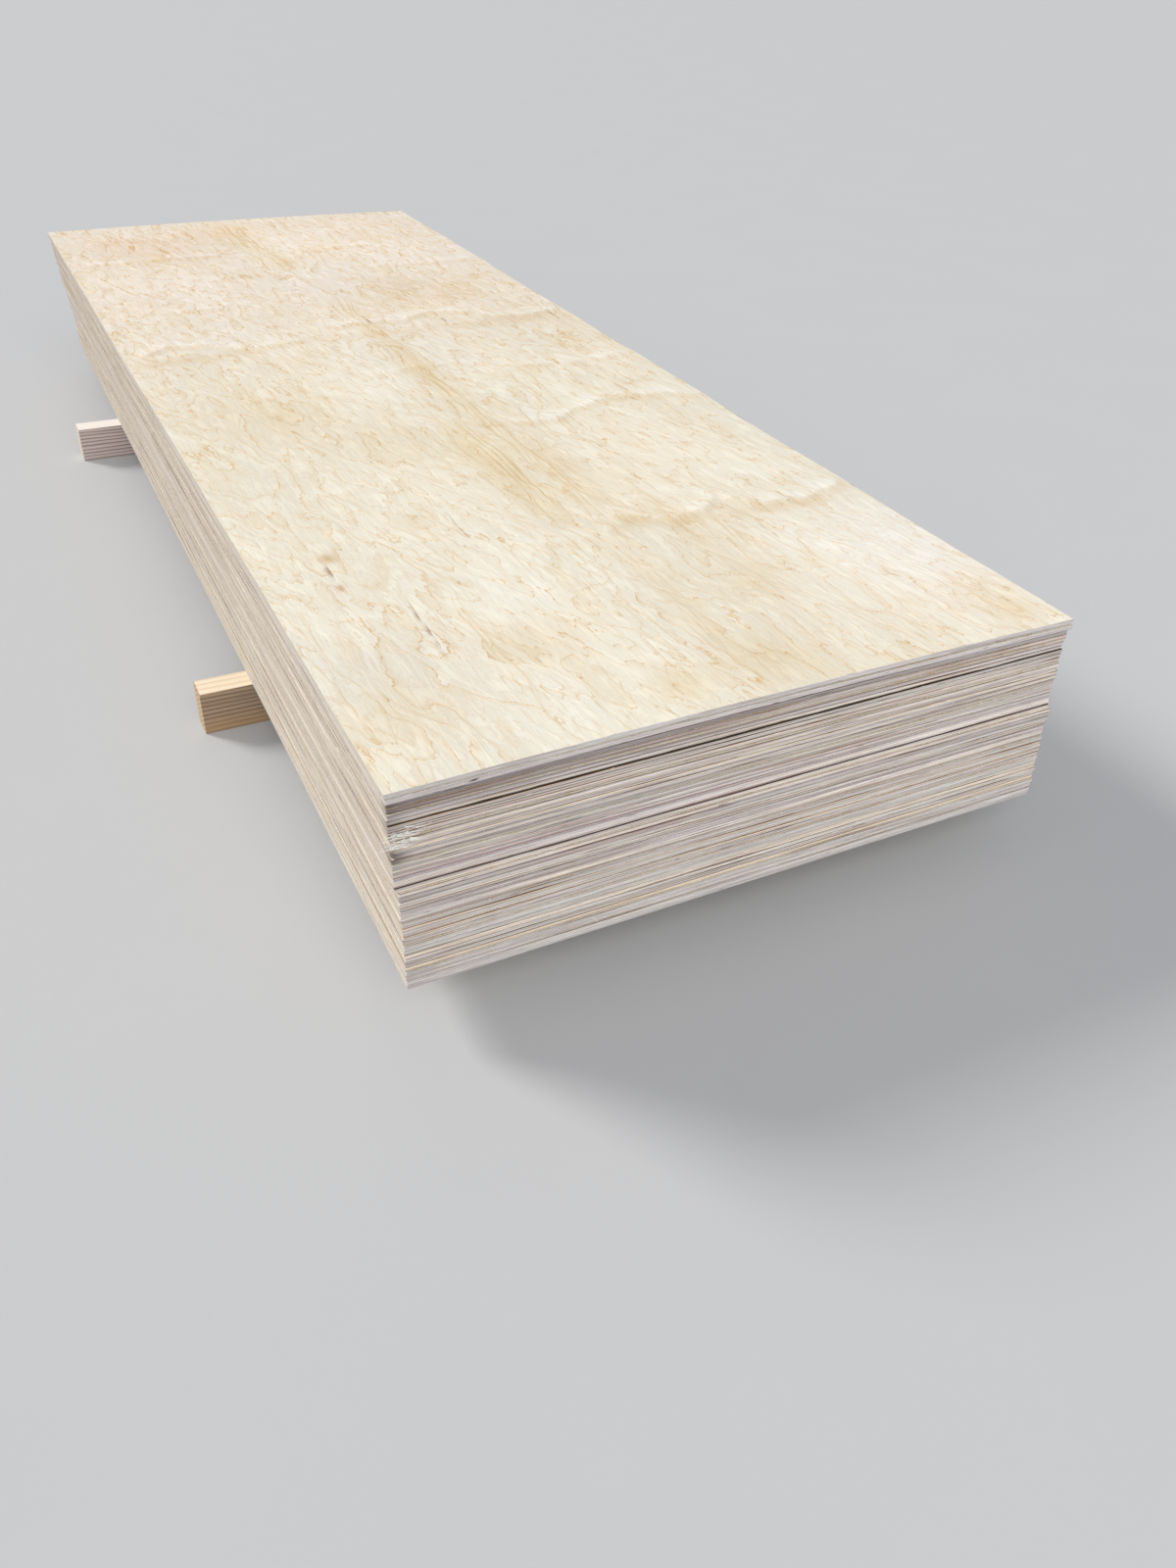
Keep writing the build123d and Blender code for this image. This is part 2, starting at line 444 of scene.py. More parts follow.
# A fibre's length, bow, climb and thickness in mm, how far it stays inside the solids' box, and its points
FRAY_LENGTHS = (7, 26)
FRAY_BOWS = (2.2, 4.2)
FRAY_CLIMBS = (-2.5, 4.5)
FRAY_WIDTHS = (0.6, 1.4)
FRAY_MARGIN = 0.3 * MM
FRAY_POINTS = 6

# A curled shaving on the front end: sheets above, place, and how many points it has
SHAVING = (38, 228 * MM, 12)

FLOOR_HALF = 40.0
FLOOR_COLOURS = ((0.565, 0.565, 0.57), (0.57, 0.57, 0.575))
SKY_COLOUR = (0.95, 0.97, 1.0, 1)
SKY_STRENGTH = 0.42

# The materials of a sheet and of a bearer, in the order of their slots
SHORT_EDGE, LONG_EDGE, FACE = range(3)
BEARER_TOP, BEARER_SIDE, BEARER_END = range(3)


def new_object(name, data):
    """An object with that data, put into the scene."""
    made = bpy.data.objects.new(name, data)
    bpy.context.scene.collection.objects.link(made)
    return made


def wander(rng, wavelength, size, waves=5):
    """A smooth random function of distance, of about that wavelength and at most that size."""
    turns = rng.uniform(0.6, 1.9, waves) * 2 * math.pi / wavelength
    starts = rng.uniform(0, 2 * math.pi, waves)
    sizes = rng.uniform(0.4, 1.0, waves)
    sizes *= size / sizes.sum()
    return lambda s: np.sum(sizes[:, None] * np.sin(np.outer(turns, s) + starts[:, None]), axis=0)


def tinge(tone, share):
    """What is added to 1 to multiply a colour by a tone, where only that share of the tone is taken."""
    return share[:, None] * (np.array(tone) - 1)


class Sheet:
    """One sheet as the frame has it: its corners and how it is bent."""

    def __init__(self, level):
        self.level = level
        self.above = TOP - level
        self.is_top = level == TOP
        self.name = SHEETS[level]
        self.rng = np.random.default_rng(SHEET_SEED + level)
        points = np.array([v.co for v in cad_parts[self.name].data.vertices])
        flat = points[:, :2]
        front_right = flat[np.argmax(flat @ (1, -1))]
        back_right = flat[np.argmax(flat @ (1, 1))]
        back_left = flat[np.argmax(flat @ (-1, 1))]
        self.corner = front_right + back_left - back_right
        self.width = float(np.linalg.norm(front_right - self.corner))
        self.length = float(np.linalg.norm(back_left - self.corner))
        self.across = (front_right - self.corner) / self.width
        self.along = (back_left - self.corner) / self.length
        self.low = float(points[:, 2].min())
        self.crown = TOP_CROWN if self.is_top else float(np.ptp(points[:, 2])) - THICKNESS
        self.plain = level < PLAIN_SHEETS or self.above < SMOOTH_TOP_SHEETS

    def under(self, a, b):
        """Height of the underside, a across the sheet from its left edge and b from its front end."""
        share = a / self.width
        height = self.low + self.crown * (1 - (2 * share - 1) ** 2)
        if self.is_top:
            for buckle in BUCKLES:
                place, half, left, middle, right = (value * MM for value in buckle)
                rise = left * (1 - share) * (1 - 2 * share) + 4 * middle * share * (1 - share)
                rise += right * share * (2 * share - 1)
                height = height + rise * np.exp(-(((b - place) / half) ** 2))
        return height

    def place(self, a, b):
        """The x and y of places across and along the sheet."""
        flat = self.corner + np.outer(a, self.across) + np.outer(b, self.along)
        return flat[:, 0], flat[:, 1]


def creases(a, b):
    """For each crease its height, how much of it reaches here, and how far behind its line this is."""
    for left, right, ends, sag, rise in CREASES:
        share = (a / MM - left) / (right - left)
        line = ends + sag * 4 * share * (1 - share)
        line = line + 3 * np.sin(a / MM / 11 + left) + 2 * np.sin(a / MM / 4.3)
        yield rise * MM, np.clip(share * (1 - share) * 12, 0, 1), b - line * MM


def crease_height(a, b):
    """Height of the scalloped creases over the top sheet's smooth form."""
    height = np.zeros_like(a)
    for rise, inside, behind in creases(a, b):
        half = np.where(behind > 0, CREASE_BACK, CREASE_FRONT)
        height += rise * inside * np.exp(-((behind / half) ** 2))
    return height


def swell_height(a, b):
    """Height of the slow swell of the top veneer."""
    rng = np.random.default_rng(SWELL_SEED)
    height = np.zeros_like(a)
    for size, across, along in SWELL:
        start_a, start_b = rng.uniform(0, 6, 2)
        wave_a = np.sin(a / (across * MM) * 2 * math.pi + start_a)
        wave_b = np.sin(b / (along * MM) * 2 * math.pi + start_b)
        height += size * MM * wave_a * wave_b
    return height


def split_depth(a, b):
    """Depth of the open splits, which run along the grain and close here and there."""
    depth = np.zeros_like(a)
    for x0, y0, x1, y1, half, deep in SPLITS:
        share = (b / MM - y0) / (y1 - y0)
        line = x0 + (x1 - x0) * share + 0.5 * np.sin(b / MM / 9)
        tapered = np.clip(share * (1 - share) * 8, 0, 1)
        closing = np.clip(0.9 + 0.6 * np.sin(b / MM / 6.3 + x0), 0, 1)
        inside = np.clip(1.3 - np.abs(a / MM - line) / half, 0, 1)
        depth = np.maximum(depth, deep * MM * (tapered * closing) * inside)
    return depth


def top_relief(a, b):
    """What the top sheet's face adds to its solid's smooth form."""
    kept = np.clip(np.minimum(b, TOP_LENGTH - b) / RELIEF_FADE, 0, 1)
    lowered = RELIEF_DROP * np.exp(-(((b - HIGHEST_BUCKLE) / DROP_HALF_WIDTH) ** 2))
    return kept * (crease_height(a, b) + swell_height(a, b) - lowered) - split_depth(a, b)


def face_colour(a, b):
    """The top veneer's clouds of colour, some of them painted shade and highlight on the buckles, the painted
    shade and highlight on the sides of its creases, and the painted shade inside its splits.
    """
    colour = np.ones((len(a), 3))
    for x, y, half_x, half_y, tone in TONE_CLOUDS_AND_PAINTED_LIGHT:
        away = ((a / MM - x) / half_x) ** 2 + ((b / MM - y) / half_y) ** 2
        colour *= 1 + tinge(tone, np.exp(-(away**CLOUD_FALL)))
    # Each crease gets painted shade on its front side and a painted highlight on its back side
    for rise, inside, behind in creases(a, b):
        strength = inside * min(1.0, rise / FULL_CREASE)
        tan = strength * np.exp(-(((behind + CREASE_SHADE_PLACE) / CREASE_SHADE_REACH) ** 2))
        pale = strength * np.where(behind > 0, np.exp(-((behind / CREASE_BACK) ** 2)), 0)
        colour *= 1 + tinge(CREASE_SHADE_TINT, tan) + tinge(CREASE_HIGHLIGHT_TINT, pale)
    # Painted shade inside the open splits, darker where they are deeper
    open_share = np.clip(split_depth(a, b) / FULL_SPLIT, 0, 1)
    return colour * (1 + tinge(SPLIT_SHADE, open_share))


def chips_of(sheet, side_length, per_metre):
    """Small chips of one side's arrises: centre, half length, depth, 0 for the upper arris or 1."""
    rng = sheet.rng
    chips = []
    for _ in range(rng.poisson(per_metre * side_length)):
        centre = rng.uniform(CHIP_MARGIN, side_length - CHIP_MARGIN)
        half = rng.uniform(*CHIP_HALVES) * MM
        deep = rng.uniform(*CHIP_DEPTHS) * MM
        chips.append((centre, half, deep, int(rng.integers(2))))
    return chips


def chip_depth(chips, position, share_down):
    """How deep the chips reach in at these places along a side, that share of the way down it."""
    depth = np.zeros_like(position)
    for centre, half, deep, lower in chips:
        reach = share_down if lower else 1 - share_down
        bite = deep * np.clip(1 - ((position - centre) / half) ** 2, 0, 1)
        depth += bite * max(0.0, reach - (1 - CHIP_REACH)) / CHIP_REACH
    return depth


def bite_depth(b):
    """How deep the torn splinters reach in from the top sheet's right edge."""
    depth = np.zeros_like(b)
    for deep_end, shallow_end, deep in BITES:
        share = (b - shallow_end) / (deep_end - shallow_end)
        depth += deep * np.where((share > 0) & (share <= 1), share, 0)
    return depth


def positions(length, step, extra):
    """Places along a side of that length: even ones, finer near the corners, and the extra ones."""
    ends = np.array(CORNER_STEPS)
    inner = np.linspace(ends[-1], length - ends[-1], max(2, round(length / step)))
    every = np.concatenate([ends, length - ends, inner, [x for x in extra if 0 < x < length]])
    every = np.unique(np.round(every, 6))
    every = every[np.concatenate([[True], np.diff(every) > LEAST_STEP])]
    every[-1] = length
    return every


def rim_places(sheet, chips):
    """Where the rim has points, across and along the sheet, with extra ones where something is small."""
    if sheet.is_top:
        across = [(x0 + column) * MM for x0, *_ in SPLITS for column in SPLIT_COLUMNS]
        along = [end + row for *ends, _ in BITES for end in ends for row in BITE_ROWS]
        return positions(sheet.width, TOP_ACROSS_STEP, across), positions(sheet.length, TOP_ALONG_STEP, along)
    on_short = [(place, half) for place, half, *_ in chips["front"] + chips["back"]]
    on_short += [(place * MM, half * MM) for above, _, place, half, _ in KNOTS if above == sheet.above]
    on_long = [(place, half) for place, half, *_ in chips["left"] + chips["right"]]
    across = [place + mark * half for place, half in on_short for mark in MARKS]
    along = [place + mark * half for place, half in on_long for mark in MARKS]
    return positions(sheet.width, EDGE_STEP, across), positions(sheet.length, SIDE_STEP, along)


class Rim:
    """The rim of a sheet, once round from its front left corner, anticlockwise from above."""

    def __init__(self, across, along):
        inner_b = along[1:-1]
        self.a = np.concatenate([across, 0 * inner_b + across[-1], across[::-1], 0 * inner_b])
        self.b = np.concatenate([0 * across, inner_b, 0 * across + along[-1], inner_b[::-1]])
        self.count = len(self.a)
        self.run = np.concatenate([[0], np.cumsum(np.hypot(np.diff(self.a), np.diff(self.b)))])
        self.next_run = np.append(self.run[1:], self.run[-1] + along[1])

        # The numbers of each side's points, from the left and from the front
        front_right = len(across) - 1
        back_right = front_right + len(along) - 1
        back_left = back_right + len(across) - 1
        self.front = np.arange(front_right + 1)
        self.right = np.arange(front_right, back_right + 1)
        self.back = np.arange(back_right, back_left + 1)[::-1]
        self.left = np.append(np.arange(back_left, self.count), 0)[::-1]


class SawnEdge:
    """How a sheet's sawn edge is shaped: its waves, chips and worn corners, and the gaps beside it."""

    def __init__(self, sheet, rim, chips):
        rng = sheet.rng
        self.sheet, self.rim, self.chips = sheet, rim, chips
        self.slow = {side: wander(rng, EDGE_WAVE, EDGE_WANDER) for side in chips}
        self.rough = {side: wander(rng, ROUGH_WAVE, ROUGH_WANDER, ROUGH_WAVES) for side in chips}
        uneven = wander(rng, wavelength=0.8, size=0.5)
        usual = USUAL_GAP * rng.uniform(*GAP_RANGE)
        gap = max(usual, GAP_ABOVE * WIDE_GAPS.get(sheet.above + 1, 0))
        self.gaps = gap * (1 + 0.6 * uneven(rim.run))
        self.sunk = (1 - GAP_ABOVE) * WIDE_GAPS.get(sheet.above, 0)
        wear = TOP_CORNER_WEAR if sheet.above < SMOOTH_TOP_SHEETS else CORNER_WEAR
        self.wear = wear * rng.uniform(*WEAR_RANGE, 4)
        if sheet.above in BRUISED:
            self.wear[0] = BRUISE
        self.shares = np.array(PLY_PLACES) / PLIES
        self.shares[2:6] += rng.normal(0, PLY_JITTER, 4)

    def inset(self, side, where, share_down, farther_in):
        """How far in from its side of the sheet the edge lies at these places."""
        waves = EDGE_INSET + self.slow[side](where) + self.rough[side](where)
        return waves + farther_in + chip_depth(self.chips[side], where, share_down)

    def ring(self, row):
        """One ring of points: where they lie across and along the sheet, and their x, y and z."""
        sheet, rim, share_down = self.sheet, self.rim, self.shares[row]
        relief = PLY_RELIEF * sheet.rng.uniform(0, 1)
        farther_in = ARRIS if row in (0, len(self.shares) - 1) else relief
        left = self.inset("left", rim.b, share_down, farther_in)
        right = self.inset("right", rim.b, share_down, farther_in)
        front = self.inset("front", rim.a, share_down, farther_in)
        back = self.inset("back", rim.a, share_down, farther_in)
        if sheet.is_top:
            right = right + bite_depth(rim.b)
        a = np.clip(rim.a, left, sheet.width - right)
        b = np.clip(rim.b, front, sheet.length - back)
        for corner, reach in enumerate(self.wear):
            from_a = a - left if corner in (0, 3) else sheet.width - right - a
            from_b = b - front if corner in (0, 1) else sheet.length - back - b
            push = np.clip(reach - from_a - from_b, 0, None) / 2
            a = a + push * (1 if corner in (0, 3) else -1)
            b = b + push * (1 if corner in (0, 1) else -1)
        under = sheet.under(a, b)
        bottom = under + self.gaps
        z = bottom + (1 - share_down) * (under + THICKNESS - self.sunk - bottom)
        if sheet.is_top:
            z = z + (1 - share_down) * top_relief(a, b)
            z = np.minimum(z, cad_high.z - UNDER_TOP)
        return a, b, np.column_stack([*sheet.place(a, b), z])


def dirt(sheet, rim):
    """What the edge's colour is multiplied by for the dirt at its front left corner: 1 where clean."""
    near = np.exp(-(((rim.a + rim.b) / DIRT_REACH) ** 2))
    return 1 - (1 - DIRTY.get(sheet.above, 1.0)) * near


def ply_colour(sheet, ply, run, tone):
    """Colour of one ply round the rim, from the sheet's own tone."""
    rng = sheet.rng
    spread = PLAIN_SPREAD if sheet.plain else PLY_SPREAD
    tone = tone * (1 + rng.normal(0, spread)) * (1 + rng.normal(0, 0.014, 3))
    draw = rng.random()
    kinds = [] if sheet.plain else [kind for limit, kind in PLY_KINDS if draw < limit]
    if kinds:
        come_and_go = np.clip(0.65 + wander(rng, 0.6, 1.3)(run), 0.1, 1)
        tone = tone * (1 + tinge(kinds[0], come_and_go))
    slow = (wander(rng, 0.55, 0.10)(run) + wander(rng, 0.14, 0.05)(run))[:, None]
    colour = tone * (1 + slow)
    if (sheet.above, ply) in SPECIAL_PLIES:
        special, reach = SPECIAL_PLIES[sheet.above, ply]
        share = 1.0 if reach is None else np.clip(1.6 - 1.6 * run / reach, 0, 1)[:, None]
        colour = colour * (1 - share) + share * np.array(special) * (1 + 0.4 * slow)
    for above, knot_ply, place, half, pale in KNOTS:
        if (above, knot_ply) == (sheet.above, ply):
            near = np.exp(-(((run - place * MM) / (half * MM)) ** 4))
            colour = colour * (1 - (1 - pale) * near)[:, None]
    return colour


def overhang_shade_of(sheet, ply, run):
    """The painted shade on one ply of the sheets just under the top ones, from the top sheets' overhang,
    darker at one end than at the other.
    """
    left, right = OVERHANG_SHADE[sheet.above]
    places = [0, sheet.width * (1 - 0.05 * ply), sheet.width, sheet.width + 20 * MM]
    shade = np.interp(run, places, [left, right, right, 1])
    return shade[:, None] * (1 + tinge(OVERHANG_SHADE_TINT, 1 - shade) * 2)


def seam_strength(seam, sheet, run, calm):
    """How dark a seam is round the rim. Both sheets beside it draw the same."""
    rng = np.random.default_rng(SEAM_SEED + seam)
    strength = SEAMS.get(seam, rng.uniform(*SEAM_RANGE)) * (PLAIN_SEAM if sheet.plain else 1.0)
    loose = 0.1 if seam == OPEN else 1.0
    drift = 1 + loose * (wander(rng, 0.6, 0.6)(run) + wander(rng, 0.13, 0.25)(run))
    drift *= 0.4 + 0.6 * calm
    darkest = 1 if seam == OPEN else CLOSED_SEAM
    return np.clip(strength * drift, 0, darkest) if 0 < seam <= TOP else np.zeros(len(run))


def edge_look(sheet, rim):
    """Colour of each ply round the rim, with painted shade under the top sheets, and how dark the seams above
    and below the sheet are, from glue and painted shade in the gaps.
    """
    run, back_left = rim.run, 2 * sheet.width + sheet.length
    on_right = (run > sheet.width) & (run < sheet.width + sheet.length)
    calm = np.where(on_right | (run > back_left), LONG_SIDE_CONTRAST, 1.0)
    places = FRONT_PLACES + [back_left - BACK_CORNER, back_left, back_left + sheet.length]
    middle = np.interp(run, places, FRONT_TONES + LEFT_TONES)[:, None]
    tone = SHEET_TONES.get(sheet.above, 1 + sheet.rng.normal(0, 0.03)) * middle
    plies = []
    for ply in range(PLIES):
        colour = ply_colour(sheet, ply, run, tone)
        colour = middle + (colour - middle) * calm[:, None]
        # Sheets under the top ones get painted shade from the top sheets' overhang
        plies.append(colour * overhang_shade_of(sheet, ply, run) if sheet.above in OVERHANG_SHADE else colour)
    return plies, [seam_strength(seam, sheet, run, calm) for seam in (sheet.above, sheet.above + 1)]


def edge_faces(sheet, rim, plies, seams):
    """The faces of the sawn edge, in strips between its rings of points."""
    following = (np.arange(rim.count) + 1) % rim.count
    clean = dirt(sheet, rim)[:, None]
    for strip in range(len(PLY_PLACES) - 1):
        upper, lower = strip * rim.count, (strip + 1) * rim.count
        v_up, v_low = (place + PLIES * sheet.level for place in PLY_PLACES[strip : strip + 2])
        ply = min(max(strip - 1, 0), PLIES - 1)
        seam = seams[0] if strip < len(PLY_PLACES) // 2 - 1 else seams[1]
        tones = np.column_stack([plies[ply] * clean, seam]).tolist()
        for i, j in enumerate(following):
            corners = (upper + i, lower + i, lower + j, upper + j)
            run, next_run = rim.run[i], rim.next_run[i]
            places = [(run, v_up), (run, v_low), (next_run, v_low), (next_run, v_up)]
            on_long_side = rim.a[i] == rim.a[j] and rim.a[i] in (0, sheet.width)
            material = LONG_EDGE if on_long_side else SHORT_EDGE
            yield corners, places, [tones[i], tones[i], tones[j], tones[j]], material, False


def plain_face(rim, first, tone, below=False):
    """A face in strips along the grain. First is the number of its rim's first point."""
    strips = len(rim.front) - 1
    for i in range(strips):
        corners = [rim.front[i], rim.front[i + 1]]
        corners += list(rim.right[1:-1]) if i == strips - 1 else []
        corners += [rim.back[i + 1], rim.back[i]]
        corners += list(rim.left[1:-1][::-1]) if i == 0 else []
        if below:
            corners = corners[::-1]
        numbers = tuple(first + corner for corner in corners)
        yield numbers, zip(rim.a[corners], rim.b[corners]), [tone] * len(corners), FACE, False


def top_points(sheet, across, along):
    """The points of the top sheet's face inside its rim: across and along it, and their x, y and z."""
    a, b = (places.ravel() for places in np.meshgrid(across[1:-1], along[1:-1]))
    z = sheet.under(a, b) + THICKNESS + top_relief(a, b)
    return a, b, np.column_stack([*sheet.place(a, b), np.minimum(z, cad_high.z - UNDER_TOP)])


def top_faces(rim, a, b):
    """The top sheet's face as a fine grid, from where all points of its mesh lie across and along it."""
    rows, columns = len(rim.left), len(rim.front)
    grid = np.zeros((rows, columns), dtype=int)
    grid[0], grid[-1], grid[:, 0], grid[:, -1] = rim.front, rim.back, rim.left, rim.right
    grid[1:-1, 1:-1] = np.arange(len(PLY_PLACES) * rim.count, len(a)).reshape(rows - 2, columns - 2)
    tones = np.column_stack([face_colour(a, b), np.ones(len(a))]).tolist()
    for j in range(rows - 1):
        for i in range(columns - 1):
            corners = (grid[j, i], grid[j, i + 1], grid[j + 1, i + 1], grid[j + 1, i])
            places = zip(a[list(corners)], b[list(corners)])
            yield corners, places, [tones[corner] for corner in corners], FACE, True


def flattened(values_of_faces):
    """What each corner of each face carries, as one row of numbers."""
    corners = [values for of_face in values_of_faces for values in of_face]
    return np.array(corners, dtype=np.float32).ravel()


def sheet_mesh(name, points, faces):
    """A mesh of points and faces, where each face has its corners' places and tones, and its material."""
    corners, places, tones, materials, smooth = zip(*faces)
    mesh = bpy.data.meshes.new(name)
    mesh.from_pydata(points.tolist(), [], corners)
    layer = mesh.uv_layers.new(name="place")
    layer.data.foreach_set("uv", flattened(places))
    tint = mesh.color_attributes.new("tone_and_painted_light", "FLOAT_COLOR", "CORNER")
    tint.data.foreach_set("color", flattened(tones))
    mesh.polygons.foreach_set("material_index", materials)
    mesh.polygons.foreach_set("use_smooth", smooth)
    mesh.update()
    return mesh


def build_sheet(level):
    """A sheet as a closed mesh: ring by ring down its sawn edges, and a face above and below."""
    sheet = Sheet(level)
    chips = {side: chips_of(sheet, sheet.width, SHORT_SIDE_CHIPS) for side in ("front", "back")}
    chips |= {side: chips_of(sheet, sheet.length, LONG_SIDE_CHIPS) for side in ("left", "right")}
    across, along = rim_places(sheet, chips)
    rim = Rim(across, along)
    edge = SawnEdge(sheet, rim, chips)
    faces = list(edge_faces(sheet, rim, *edge_look(sheet, rim)))
    rings = [edge.ring(row) for row in range(len(PLY_PLACES))]
    if sheet.is_top:
        rings.append(top_points(sheet, across, along))
    a, b, points = (np.concatenate(of_rings) for of_rings in zip(*rings))
    if sheet.is_top:
        faces += top_faces(rim, a, b)
    else:
        # The face under a wide gap is darkened with painted shade
        faces += plain_face(rim, 0, GAP_SHADE if sheet.above in WIDE_GAPS else UNSHADED)
    faces += plain_face(rim, (len(PLY_PLACES) - 1) * rim.count, UNSHADED, below=True)

    made = new_object(sheet.name + "_laid", sheet_mesh(sheet.name, points, faces))
    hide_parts(sheet.name)
    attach(made, "root")
    return made


class Shader:
    """A material's nodes, with a short way to add each kind."""

    def __init__(self, name, roughness, specular):
        self.material = bpy.data.materials.new(name)
        self.material.use_nodes = True
        self.tree = self.material.node_tree
        self.surface = self.tree.nodes["Principled BSDF"]
        self.surface.inputs["Roughness"].default_value = roughness
        self.surface.inputs["Specular IOR Level"].default_value = specular

    def feed(self, socket, value):
        """Links a node's output to the socket, or writes a plain value or a colour into it."""
        if isinstance(value, bpy.types.NodeSocket):
            self.tree.links.new(value, socket)
        elif value is not None:
            socket.default_value = (*value, 1.0) if isinstance(value, tuple) else value

    def node(self, kind, *values, **settings):
        made = self.tree.nodes.new("ShaderNode" + kind)
        for name, value in settings.items():
            setattr(made, name, value)
        for socket, value in zip(made.inputs, values):
            self.feed(socket, value)
        return made

    def math(self, operation, *values):
        return self.node("Math", *values, operation=operation).outputs[0]

    def plus(self, first, second):
        return self.math("ADD", first, second)

    def minus(self, first, second):
        return self.math("SUBTRACT", first, second)

    def times(self, first, second):
        return self.math("MULTIPLY", first, second)

    def combine(self, x, y, z=0.0):
        return self.node("CombineXYZ", x, y, z).outputs[0]

    def noise(self, vector, detail=2.0, roughness=0.5, scale=1.0):
        made = self.node("TexNoise", vector)
        for name, value in (("Scale", scale), ("Detail", detail), ("Roughness", roughness)):
            made.inputs[name].default_value = value
        return made.outputs[0]

    def span(self, *values):
        """Takes a value smoothly from one range to another, which is 0 to 1 unless it's given."""
        return self.node("MapRange", *values, interpolation_type="SMOOTHSTEP").outputs[0]

    def mix(self, share, first, second, blend="MIX"):
        made = self.node("Mix", share, data_type="RGBA", blend_type=blend, clamp_factor=True)
        self.feed(made.inputs[6], first)
        self.feed(made.inputs[7], second)
        return made.outputs[2]

    def scaled(self, colour, factor):
        grey = self.node("CombineColor", factor, factor, factor).outputs[0]
        return self.mix(1.0, colour, grey, "MULTIPLY")

    def split(self, vector):
        return tuple(self.node("SeparateXYZ", vector).outputs)

    def own_place(self):
        """A point's place in metres."""
        return self.node("TexCoord").outputs["Object"]

    def sheet_place(self):
        """The sheet's own coordinates: along the rim and down the plies, or across and along a face."""
        return self.split(self.node("UVMap", uv_map="place").outputs[0])[:2]

    def tone_and_painted_light(self):
        """The colour that the mesh carries, with painted light and shade in it, and how dark its seam is."""
        return tuple(self.node("VertexColor", layer_name="tone_and_painted_light").outputs)

    def finish(self, colour, height=None, distance=0.2 * MM, strength=0.5):
        self.feed(self.surface.inputs["Base Color"], colour)
        if height is not None:
            bump = self.node("Bump")
            bump.inputs["Strength"].default_value = strength
            bump.inputs["Distance"].default_value = distance
            self.feed(bump.inputs["Height"], height)
            self.feed(self.surface.inputs["Normal"], bump.outputs[0])
        return self.material


def edge_material(name, end_grain_first, end_colour, glue_share):
    """A sawn plywood edge: every other ply shows its end grain, with dark seams between the sheets."""
    s = Shader(name, roughness=0.75, specular=0.12)
    run, down = s.sheet_place()
    tone, seam = s.tone_and_painted_light()
    sheet = s.math("FLOOR", s.math("DIVIDE", down, float(PLIES)))
    within = s.minus(down, s.times(sheet, float(PLIES)))
    ply = s.math("FLOOR", down)
    odd = s.math("MODULO", s.math("FLOOR", within), 2.0)
    is_end = s.minus(1.0, odd) if end_grain_first else odd

    def streaks(scale, other, other_scale, detail, roughness=0.5):
        """Noise along the rim that changes with another value too."""
        return s.noise(s.combine(s.times(run, scale), s.times(other, other_scale)), detail, roughness)

    pores = streaks(620.0, down, 3.0, 2.0)
    fibres = streaks(55.0, down, 2.6, 3.0, 0.6)
    grain = s.math("MULTIPLY_ADD", is_end, s.span(pores, 0.3, 0.7, -0.12, 0.10), 1.0)
    grain = s.times(grain, s.span(fibres, 0.3, 0.7, 0.83, 1.13))
    colour = s.mix(is_end, LONG_GRAIN, end_colour)
    colour = s.scaled(s.mix(1.0, colour, tone, "MULTIPLY"), grain)

    # Glue lines between the plies, which come and go
    swim = streaks(5.0, down, 0.45, 2.0)
    swum = s.math("MULTIPLY_ADD", s.minus(swim, 0.5), 0.9, down)
    part = s.math("FRACT", swum)
    away = s.math("MINIMUM", part, s.minus(1.0, part))
    fade = streaks(6.0, s.math("ROUND", swum), 6.13, 2.0)
    glue = s.times(s.span(away, 0.05, 0.36, 1.0, 0.0), s.span(fade, 0.44, 0.64, 0.04, glue_share))
    colour = s.mix(glue, colour, GLUE)

    # Knots and open joints in a core veneer: short dark dashes
    dash = s.span(streaks(19.0, ply, 9.17, 1.0), 0.735, 0.775, 0.0, 0.85)
    colour = s.mix(s.times(dash, s.span(away, 0.1, 0.3)), colour, DASH)

    # The seam between two sheets, a dark line of uneven width: dark glue with painted shade in the gap, and
    # near black painted shade in the widest gap
    from_face = s.math("MINIMUM", within, s.minus(float(PLIES), within))
    uneven = streaks(11.0, sheet, 4.7, 3.0)
    width = s.times(s.times(seam, seam), s.span(uneven, 0.3, 0.7, 0.5, 1.5))
    dark = s.minus(1.0, s.math("DIVIDE", from_face, s.plus(width, 0.02)))
    dark = s.times(s.span(dark, 0.0, 0.4), s.span(seam, 0.0, 0.7, 0.35, 1.0))
    colour = s.mix(dark, colour, s.mix(s.span(seam, CLOSED_SEAM, 1.0), SEAM_GLUE_AND_SHADE, OPEN_GAP_SHADE))

    relief = s.plus(s.times(pores, 0.5), s.times(s.math("MAXIMUM", glue, dark), -0.8))
    return s.finish(colour, relief, distance=0.25 * MM)


